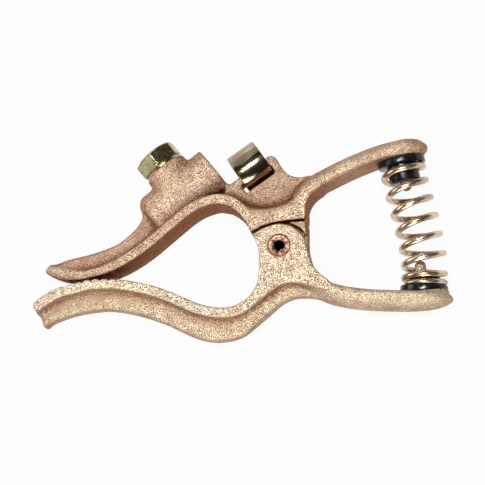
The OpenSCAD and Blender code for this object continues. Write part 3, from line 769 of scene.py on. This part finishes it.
def seat_profile(hub):
    """Radius and height round the seat's section, from the peg hole's foot and out.
    `hub` is how far its hub stands into the spring."""
    foot, top, crown = PAD_HEIGHT, PAD_HEIGHT + SEAT_THICK, PAD_HEIGHT + SEAT_THICK + hub
    hole, neck, rim = PEG_RADIUS + 0.1, HUB_RADIUS, SEAT_RADIUS
    return [(hole, foot), (rim - 0.4, foot), (rim - 0.1, foot + 0.15), (rim, foot + 0.5), (rim, top - 0.6),
            (rim - 0.15, top - 0.2), (rim - 0.6, top), (neck + 0.5, top), (neck + 0.1, top + 0.15),
            (neck, top + 0.6), (neck - 0.1, crown - 1.0), (neck - 0.4, crown - 0.3), (neck - 1.1, crown),
            (hole + 0.3, crown), (hole, crown - 0.3)]


for name, hub, at, direction, body, node in (
        ("seat_on_upper_handle", 8.0, upper_seat, upper_seat_dir, "upper_arm", "upper_spring_seat"),
        ("seat_on_lower_handle", 6.2, lower_seat, lower_seat_dir, "lower_arm", "lower_spring_seat")):
    seat_rings = turned(seat_profile(hub), at, direction, full_turn(SIDES))
    tube(name, seat_rings, body, [node], closed_path=True)

# %% [markdown]
# ## Rivet
#
# A copper-plated tube. Its two ends are flared over into the ears' countersinks, so its
# mouth is a funnel with a rolled lip.

# %% Rivet
RIVET_RADIUS, RIVET_HOLE, RIM_RADIUS = 3.9, 2.0, 5.2


def circle(count):
    """Unit vectors round the pivot's axis."""
    angles = full_turn(count)
    return np.stack([np.cos(angles), np.sin(angles), np.zeros(count)], axis=1)


def both_ends(profile):
    """A profile of (radius, height) and its mirror image, in one row."""
    return profile + [(r, -h) for r, h in profile[::-1]]


def rivet_profile():
    """Radius and height of the section, at each end from the shank over the lip to the hole."""
    outside = [(RIVET_RADIUS, 11.4), (4.5, 12.2), (RIM_RADIUS - 0.03, 12.72)]
    lip = ((0.06, 12.82), (0.3, 12.95), (0.65, 13.0), (1.1, 12.97), (1.5, 12.88))
    funnel = [(3.3, 12.7), (2.9, 12.4), (2.6, 12.0), (2.35, 11.5), (2.15, 10.8), (RIVET_HOLE, 9.0)]
    return both_ends(outside + [(RIM_RADIUS - r, h) for r, h in lip] + funnel)


rivet_rings = np.stack([circle(SIDES) * r + np.array([0, 0, h]) for r, h in rivet_profile()])
rivet = tube("flared_rivet", rivet_rings, "lower_arm", ["pivot_rivet"], closed_path=True)
# Pale rings on the lip: wear, and painted highlights.
from_axis = np.array([r for r, _ in rivet_profile()]).repeat(SIDES)
lip_wear_and_highlight = np.interp(from_axis, (2.5, 2.8, 3.2, 3.8, 4.3), (0, 0.9, 0.6, 0.9, 0))
keep_value(rivet, "polish_and_highlight", lip_wear_and_highlight * (np.abs(rivet_rings[..., 2].ravel()) > 11.5))

# %% [markdown]
# ## Bolt, washer and strap
#
# The bolt's head is a forged hexagon whose top edge is turned to a cone, so each flat
# ends in an arc. The split washer under it shows as a bright line. The strap is a short
# steel ring on the saddle's bar.

# %% Hexagon head
HEX_FLATS, HEX_HEIGHT, HEX_TURN, HEX_CORNER_LOSS = 19.05, 7.4, np.radians(9), 0.25
WASHER_THICK, WASHER_RADIUS, WASHER_HOLE = 1.4, 9.1, 6.55
BOLT_TIP = SOCKET_RADIUS - 5
BOLT_SIDES = 144


def bolt_profile(angles):
    """Radius and height from the shank's tip to the head's crown. On the head the radius
    is that of a hexagon, flats / 2 / cos(angle to the nearest flat), and the top edge
    comes down by tan 30 times how far that radius stands out of the turned circle."""
    to_flat = (angles - HEX_TURN + np.pi / 6) % (np.pi / 3) - np.pi / 6
    hexagon = HEX_FLATS / 2 / np.cos(to_flat)
    hexagon = np.minimum(hexagon, HEX_FLATS / 2 / np.cos(np.pi / 6) - HEX_CORNER_LOSS)
    base, edge = BOSS_TOP + WASHER_THICK, HEX_FLATS * 0.47
    crown = base + HEX_HEIGHT
    top = crown - (hexagon - edge) * np.tan(np.radians(30))
    under = base + np.maximum(hexagon - HEX_FLATS * 0.5, 0) * 0.3
    shank = [(BOLT_RADIUS - 1, BOLT_TIP), (BOLT_RADIUS, BOLT_TIP + 1), (BOLT_RADIUS, base)]
    head = [(HEX_FLATS * 0.46, base), (hexagon - 0.15, under), (hexagon, under + 0.2), (hexagon, top - 0.2),
            (hexagon - 0.12, top - 0.02), (edge, crown - 0.02), (edge - 0.5, crown), (2.0, crown)]
    return shank + head


bolt_angles = full_turn(BOLT_SIDES)
bolt_rings = turned(bolt_profile(bolt_angles), bolt_foot, barrel_up, bolt_angles)
tube("hex_bolt", bolt_rings, "bolt", ["cable_bolt"])

# %% Split washer
washer_angles = np.radians(np.linspace(4, 356, 120))
washer_profile = [(WASHER_HOLE, 0.12), (6.67, 0.0), (8.95, 0.0), (WASHER_RADIUS, 0.15), (WASHER_RADIUS, 1.25),
                  (8.95, WASHER_THICK), (6.67, WASHER_THICK), (WASHER_HOLE, 1.28)]
washer_rings = turned(washer_profile, bolt_foot + barrel_up * BOSS_TOP, barrel_up, washer_angles)
tube("split_washer", washer_rings.swapaxes(0, 1), "washer", ["lock_washer"])

# %% Strap
STRAP_EDGE, STRAP_SIDES = 0.35, 128
outer, inner, wide = STRAP_RADIUS, STRAP_RADIUS - STRAP_THICK, STRAP_WIDTH / 2
strap_half = [(outer, wide - STRAP_EDGE), (outer - 0.1, wide - 0.1), (outer - STRAP_EDGE, wide),
              (inner + STRAP_EDGE, wide), (inner, wide - STRAP_EDGE)]
strap_profile = np.roll(both_ends(strap_half), 1, axis=0)
strap_place = saddle_dir * STRAP_AT + saddle_up * strap_mid
strap_rings = turned(strap_profile, strap_place, saddle_dir, full_turn(STRAP_SIDES))
tube("cable_strap_ring", strap_rings, "upper_arm", ["cable_strap"], closed_path=True)

# %% Faces of every new piece point outwards
for node, piece in pieces.items():
    shell = bmesh.new()
    shell.from_mesh(piece.data)
    bmesh.ops.recalc_face_normals(shell, faces=shell.faces)
    shell.to_mesh(piece.data)
    print(piece.name, "volume in mm3:", round(shell.calc_volume(signed=True) / MM**3, 1))
    shell.free()
    if node not in ("upper_arm", "lower_arm", "spring"):
        piece.data.set_sharp_from_angle(angle=np.radians(28))

# %% [markdown]
# ## Finishes
#
# Sand-cast bronze is grainy: tumbling brightens the raised grains and leaves the
# hollows between them brown, so the colour follows the same fine noise as the bump.
# Walls, tilted faces, inner corners and recesses of the castings also get painted shade.
# Zinc that is passivated yellow shines in straw, green and rose, which a slow noise
# mixes. All patterns read Object coordinates, in metres, so they keep their real size.

# %% Node helpers
def new_material(name):
    """A material with a Principled shader: returns it, its node tree and the shader."""
    made = bpy.data.materials.new(name)
    made.use_nodes = True
    tree = made.node_tree
    return made, tree, tree.nodes["Principled BSDF"]


def feed(tree, node, inputs):
    """Gives a node's inputs their values: links what another node puts out, or sets a
    number or a colour on the socket itself."""
    for label, value in inputs.items():
        if isinstance(value, bpy.types.NodeSocket):
            tree.links.new(value, node.inputs[label])
        else:
            node.inputs[label].default_value = value if isinstance(value, (int, float)) else (*value, 1)


def object_place(tree):
    """Object coordinates, in metres."""
    return tree.nodes.new("ShaderNodeTexCoord").outputs["Object"]


def object_noise(tree, scale, detail=2.0, roughness=0.5):
    """Noise on Object coordinates; scale is in cycles a metre."""
    noise = tree.nodes.new("ShaderNodeTexNoise")
    feed(tree, noise, {"Vector": object_place(tree), "Scale": scale, "Detail": detail, "Roughness": roughness})
    return noise.outputs["Fac"]


def colours(tree, value, *stops):
    """A colour ramp over a value, through (position, (r, g, b)) stops."""
    ramp = tree.nodes.new("ShaderNodeValToRGB")
    elements = ramp.color_ramp.elements
    while len(elements) < len(stops):
        elements.new(0.5)
    for element, (position, colour) in zip(elements, stops):
        element.position = position
        element.color = (*colour, 1)
    feed(tree, ramp, {"Fac": value})
    return ramp.outputs["Color"]


def grey(tree, value, low, high, at=(0.3, 0.7)):
    """Maps a value to a number that goes from low to high between two places."""
    span = tree.nodes.new("ShaderNodeMapRange")
    feed(tree, span, {"Value": value, "From Min": at[0], "From Max": at[1], "To Min": low, "To Max": high})
    return span.outputs["Result"]


def mixed(tree, share, a, b, how="MIX"):
    """Mixes two colours."""
    mix = tree.nodes.new("ShaderNodeMix")
    mix.data_type, mix.blend_type = "RGBA", how
    feed(tree, mix, {"Factor": share, "A": a, "B": b})
    return mix.outputs["Result"]


def worked(tree, operation, *values):
    """The product, maximum or other result of values."""
    node = tree.nodes.new("ShaderNodeMath")
    node.operation = operation
    feed(tree, node, dict(enumerate(values)))
    return node.outputs[0]


# %% Places, kept values and bump
def object_axis(tree, axis):
    """One Object coordinate, in metres: "X", "Y" or "Z"."""
    parts = tree.nodes.new("ShaderNodeSeparateXYZ")
    feed(tree, parts, {0: object_place(tree)})
    return parts.outputs[axis]


def along_x(tree, left, right, at):
    """A number that goes from left to right between two places along X."""
    return grey(tree, object_axis(tree, "X"), left, right, at)


def kept_value(tree, label):
    """A value that the mesh keeps at each vertex; 0 on a mesh without it."""
    node = tree.nodes.new("ShaderNodeAttribute")
    node.attribute_name = label
    return node.outputs["Fac"]


def bumped(tree, shader, height, distance, strength=1.0, under=None):
    """Bump from a height, whose distance is in metres, on top of another bump."""
    bump = tree.nodes.new("ShaderNodeBump")
    feed(tree, bump, {"Distance": distance, "Strength": strength, "Height": height})
    if under:
        feed(tree, bump, {"Normal": under.outputs["Normal"]})
    feed(tree, shader, {"Normal": bump.outputs["Normal"]})
    return bump


# %% Cast bronze
# Tints of painted shade: at the jaws' tips, in creases, in wide hollows and on tilted faces.
JAW_TIP_SHADE, CREASE_SHADE, WIDE_SHADE, TILT_SHADE = (
    (0.80, 0.70, 0.70), (0.76, 0.59, 0.53), (0.78, 0.66, 0.59), (0.74, 0.58, 0.54))


def cast_bronze(name, tint, softness, wall_shade_share, corner_shade_share, recess_shade_tint, jaw_end_shade_tint, warm_tint,
                warm_from, warm_to):
    """Grains of 0.4 mm, pale gold on top and brown between, all under `tint`; `softness`
    widens the steps between them. Painted shade turns walls and faces tilted from the
    pivot's axis brown and darker by `wall_shade_share`, less so on the handles, inner
    corners by `corner_shade_share`, and wide hollows a little. Recessed faces take the
    painted shade `recess_shade_tint`, deeper near the jaws' ends by `jaw_end_shade_tint`;
    side faces take `warm_tint`, a darker tone that comes over the stretch `warm_from` of x
    and goes over `warm_to`."""
    made, tree, shader = new_material(name)
    grain = object_noise(tree, 3420, 0.0, 0.5)
    patches = object_noise(tree, 150, 4.0, 0.65)
    bright = colours(tree, grain, *((0.5 + softness * step, colour) for step, colour in (
        (-0.13, (0.10, 0.047, 0.025)), (-0.04, (0.44, 0.284, 0.174)), (0.04, (0.80, 0.593, 0.398)),
        (0.12, (1.0, 0.98, 0.85)))))
    brown = colours(tree, grain, (0.39, (0.06, 0.026, 0.018)), (0.5, (0.29, 0.165, 0.118)),
                    (0.60, (0.68, 0.46, 0.33)))
    level, crowd, recess = (kept_value(tree, label) for label in ("level", "crowd", "recess"))
    # Painted shade on walls, tilted faces, inner corners and hollows, from where the surface faces and how
    # much metal is near; less of it on the handles.
    less_on_handles = along_x(tree, 1.0, 0.45, (0.012, 0.03))
    wall_shade = worked(tree, "MULTIPLY", grey(tree, level, wall_shade_share, 0.0, (0.05, 0.5)), less_on_handles)
    wall_and_corner_shade = worked(tree, "MAXIMUM", wall_shade, grey(tree, crowd, 0.0, corner_shade_share, (0.53, 0.69)))
    tilt_shade = worked(tree, "MULTIPLY", grey(tree, level, wall_shade_share, 0.0, (0.5, 0.97)), less_on_handles)
    deep = grey(tree, crowd, 0.0, corner_shade_share, (0.60, 0.76))
    wide_shade = grey(tree, kept_value(tree, "hollow"), 0.0, 1.0, (0.50, 0.66))
    # Painted shade on recessed faces, deeper near the jaws' ends.
    jaw_end_shade = worked(tree, "MULTIPLY", recess, along_x(tree, 1.0, 0.0, (-0.075, -0.058)))
    jaw_tip_shade = worked(tree, "MULTIPLY", recess, along_x(tree, 1.0, 0.0, (-0.112, -0.098)))
    # A darker tone on the side faces over a stretch of x.
    warm_band = worked(tree, "MINIMUM", along_x(tree, 0.0, 1.0, warm_from), along_x(tree, 1.0, 0.0, warm_to))
    warm_band = worked(tree, "MULTIPLY", warm_band, grey(tree, recess, 1.0, 0.0, (0.0, 0.3)))
    slow = colours(tree, patches, (0.38, tuple(c * s for c, s in zip(tint, (0.80, 0.74, 0.71)))), (0.6, tint))
    # The brown grain is painted shade on walls and in inner corners; the tints below darken recesses, creases,
    # hollows and tilted faces with more painted shade.
    skin = mixed(tree, wall_and_corner_shade, bright, brown)
    for share, shade in ((1.0, slow), (recess, recess_shade_tint), (jaw_end_shade, jaw_end_shade_tint), (jaw_tip_shade, JAW_TIP_SHADE),
                         (warm_band, warm_tint), (deep, CREASE_SHADE), (wide_shade, WIDE_SHADE), (tilt_shade, TILT_SHADE)):
        skin = mixed(tree, share, skin, shade, "MULTIPLY")
    feed(tree, shader, {
        "Base Color": skin, "Metallic": grey(tree, wall_and_corner_shade, 0.5, 0.95, (0.0, 1.0)),
        "Roughness": grey(tree, grain, 0.62, 0.40), "Specular IOR Level": 0.2,
        "Specular Tint": (0.85, 0.6, 0.45)})
    coarse = bumped(tree, shader, object_noise(tree, 500, 2.0, 0.5), 0.0004, 0.3)
    bumped(tree, shader, grain, 0.0003, 1.0 / max(softness, 1.0), under=coarse)
    return made


# %% Yellow zinc on the wire, the bolt and the strap
def yellow_zinc(name, tones, scale, metallic, rough, grain_bump):
    """Passivated zinc: a slow noise mixes its tones, and a fine one roughens it."""
    made, tree, shader = new_material(name)
    slow, fine = object_noise(tree, scale, 2.0, 0.6), object_noise(tree, 2500)
    feed(tree, shader, {"Base Color": colours(tree, slow, *zip((0.3, 0.5, 0.7), tones)),
                        "Metallic": metallic, "Roughness": grey(tree, fine, *rough)})
    bumped(tree, shader, fine, grain_bump, 0.6)
    return made


wire_zinc = yellow_zinc("yellow_zinc_wire", ((0.42, 0.26, 0.17), (0.60, 0.44, 0.30), (0.78, 0.66, 0.52)),
                        160, 0.9, (0.16, 0.30), 0.00002)
bolt_zinc = yellow_zinc("yellow_zinc_bolt", ((0.28, 0.25, 0.09), (0.40, 0.35, 0.19), (0.50, 0.42, 0.30)),
                        300, 1.0, (0.16, 0.30), 0.00018)
strap_zinc = yellow_zinc("yellow_zinc_strap", ((0.25, 0.18, 0.11), (0.35, 0.285, 0.175), (0.46, 0.39, 0.26)),
                         120, 1.0, (0.12, 0.18), 0.00001)

# %% Copper and black moulding
# Depths at which the painted shade of the bore is full and where it ends.
HOLE_DARK, HOLE_LIGHT = 0.0112, 0.0119


def copper_plate():
    """Reddish copper whose lip has pale rings, worn and painted as highlights. Deep in the hole painted shade
    makes it black, and there it is dull.
    """
    made, tree, shader = new_material("copper_rivet")
    rubs = object_noise(tree, 800, 3.0, 0.6)
    depth = worked(tree, "ABSOLUTE", object_axis(tree, "Z"))
    # Painted shade deep in the bore: black there, and dull.
    hole_shade, metallic, rough = (grey(tree, depth, deep, outer, (HOLE_DARK, HOLE_LIGHT))
                                for deep, outer in ((1.0, 0.0), (0.0, 0.9), (1.0, 0.5)))
    copper = colours(tree, rubs, (0.35, (0.09, 0.03, 0.018)), (0.52, (0.20, 0.075, 0.045)),
                     (0.68, (0.42, 0.20, 0.13)))
    # The pale lip colour: wear, and painted highlight.
    worn_and_lit = colours(tree, rubs, (0.40, (0.20, 0.08, 0.055)), (0.5, (0.46, 0.27, 0.20)),
                   (0.60, (0.85, 0.68, 0.58)))
    outside = mixed(tree, kept_value(tree, "polish_and_highlight"), copper, worn_and_lit)
    feed(tree, shader, {"Base Color": mixed(tree, hole_shade, outside, (0.004, 0.003, 0.003)),
                        "Metallic": metallic, "Roughness": rough, "Specular IOR Level": 0.0})
    bumped(tree, shader, rubs, 0.0001, 0.5)
    return made


def black_moulding():
    """Moulded black with a faint grain and dust-grey high spots."""
    made, tree, shader = new_material("black_fibre")
    dust = object_noise(tree, 700, 3.0, 0.6)
    black = colours(tree, dust, (0.4, (0.004, 0.004, 0.005)), (0.75, (0.018, 0.018, 0.020)))
    feed(tree, shader, {"Base Color": black, "Roughness": grey(tree, dust, 0.16, 0.3),
                        "Specular IOR Level": 0.35})
    bumped(tree, shader, dust, 0.00006, 0.5)
    return made


# %% Give each piece its finish
# The upper arm takes the full painted shade, the lower arm less of it.
upper_bronze = cast_bronze(
    "cast_bronze_upper", tint=(1.0, 0.91, 0.825), softness=0.93, wall_shade_share=1.0, corner_shade_share=1.0,
    recess_shade_tint=(0.90, 0.84, 0.82), jaw_end_shade_tint=(0.91, 0.85, 0.87), warm_tint=(0.84, 0.79, 0.78),
    warm_from=(-0.094, -0.074), warm_to=(-0.042, -0.022))
lower_bronze = cast_bronze(
    "cast_bronze_lower", tint=(0.89, 0.92, 0.90), softness=1.4, wall_shade_share=0.3, corner_shade_share=0.6,
    recess_shade_tint=(0.95, 0.91, 0.86), jaw_end_shade_tint=(0.98, 0.98, 0.98), warm_tint=(0.94, 0.91, 0.87),
    warm_from=(0.012, 0.035), warm_to=(0.2, 0.3))
copper, black = copper_plate(), black_moulding()
finish_of = {
    "upper_arm": upper_bronze, "lower_arm": lower_bronze, "spring": wire_zinc, "pivot_rivet": copper,
    "cable_bolt": bolt_zinc, "lock_washer": bolt_zinc, "cable_strap": strap_zinc,
    "upper_spring_seat": black, "lower_spring_seat": black}
for node, finish in finish_of.items():
    pieces[node].data.materials.append(finish)
    solid = bpy.data.objects.get(node)
    if solid and solid.material_slots:
        solid.material_slots[0].material = finish
print("finished", len(finish_of), "pieces")

# %% [markdown]
# ## Floor and light
#
# The clamp lies on a plain pale floor under soft studio light. The floor glows white to
# the camera and to reflections, with a trace of the clamp's shadow.

# %% Floor
GROUND = -HALF_WIDTH * MM - 0.0002


def add_floor(sides=48):
    """A round floor under the clamp, at the height of its lower side, turned up at its
    far rim so that low views end in it: (radius, height) in metres, turned round z."""
    rim = ((2.7, 0.0), (2.9, 0.05), (3.0, 0.2), (3.0, 0.45))
    points = np.vstack([circle(sides) * r + [0, 0, GROUND + h] for r, h in rim])
    k = np.arange((len(rim) - 1) * sides)
    after = k - k % sides + (k + 1) % sides
    bands = np.stack([after, k, k + sides, after + sides], axis=1)
    mesh = bpy.data.meshes.new("floor")
    mesh.from_pydata(points.tolist(), [], [list(range(sides))] + bands.tolist())
    floor = placed("floor", mesh)
    mesh.materials.append(floor_white())


def floor_white():
    """Grey to the light, and white by its own glow to the camera and to reflections."""
    made, tree, shader = new_material("floor_white")
    feed(tree, shader, {"Base Color": (0.5, 0.5, 0.5), "Roughness": 0.9, "Specular IOR Level": 0.1})
    glow = tree.nodes.new("ShaderNodeEmission")
    path = tree.nodes.new("ShaderNodeLightPath")
    blend = tree.nodes.new("ShaderNodeMixShader")
    seen = path.outputs["Is Camera Ray"]
    for label in ("Is Glossy Ray", "Is Transmission Ray"):
        seen = worked(tree, "MAXIMUM", seen, path.outputs[label])
    feed(tree, blend, {"Fac": worked(tree, "MULTIPLY", seen, 0.95), 1: shader.outputs[0], 2: glow.outputs[0]})
    feed(tree, tree.nodes["Material Output"], {"Surface": blend.outputs[0]})
    return made


add_floor()
print("floor at", round(GROUND / MM, 1), "mm")

# %% Lamps and world
def soft_lamp(name, place, aim, size, power, side=(0.1, 1, 0.05)):
    """An area lamp of size (wide, high) whose light goes from place to aim. Its height
    runs along `side`."""
    data = bpy.data.lights.new(name, "AREA")
    data.shape, data.energy = "RECTANGLE", power
    data.size, data.size_y = size
    back = np.subtract(place, aim)
    stand(placed(name, data), place, back / np.linalg.norm(back), side)


soft_lamp("overhead", (0.0, 0.03, 1.0), (0.0, 0.03, 0), (0.42, 0.13), 11.0, (*saddle_up, 0.0))
soft_lamp("behind", (-0.45, 0.75, 0.5), (0, 0, 0), (0.9, 0.9), 1.5)
soft_lamp("left", (-0.95, 0.1, 0.25), (0, 0, 0), (0.7, 0.7), 5.0)
soft_lamp("front", (0.15, -0.95, 0.40), (0, 0, 0), (0.6, 0.6), 9.0)
world = bpy.data.worlds.new("studio")
bpy.context.scene.world = world
world.use_nodes = True
feed(world.node_tree, world.node_tree.nodes["Background"], {"Color": (1, 1, 1), "Strength": 0.03})
bpy.context.scene.view_settings.view_transform = "Standard"
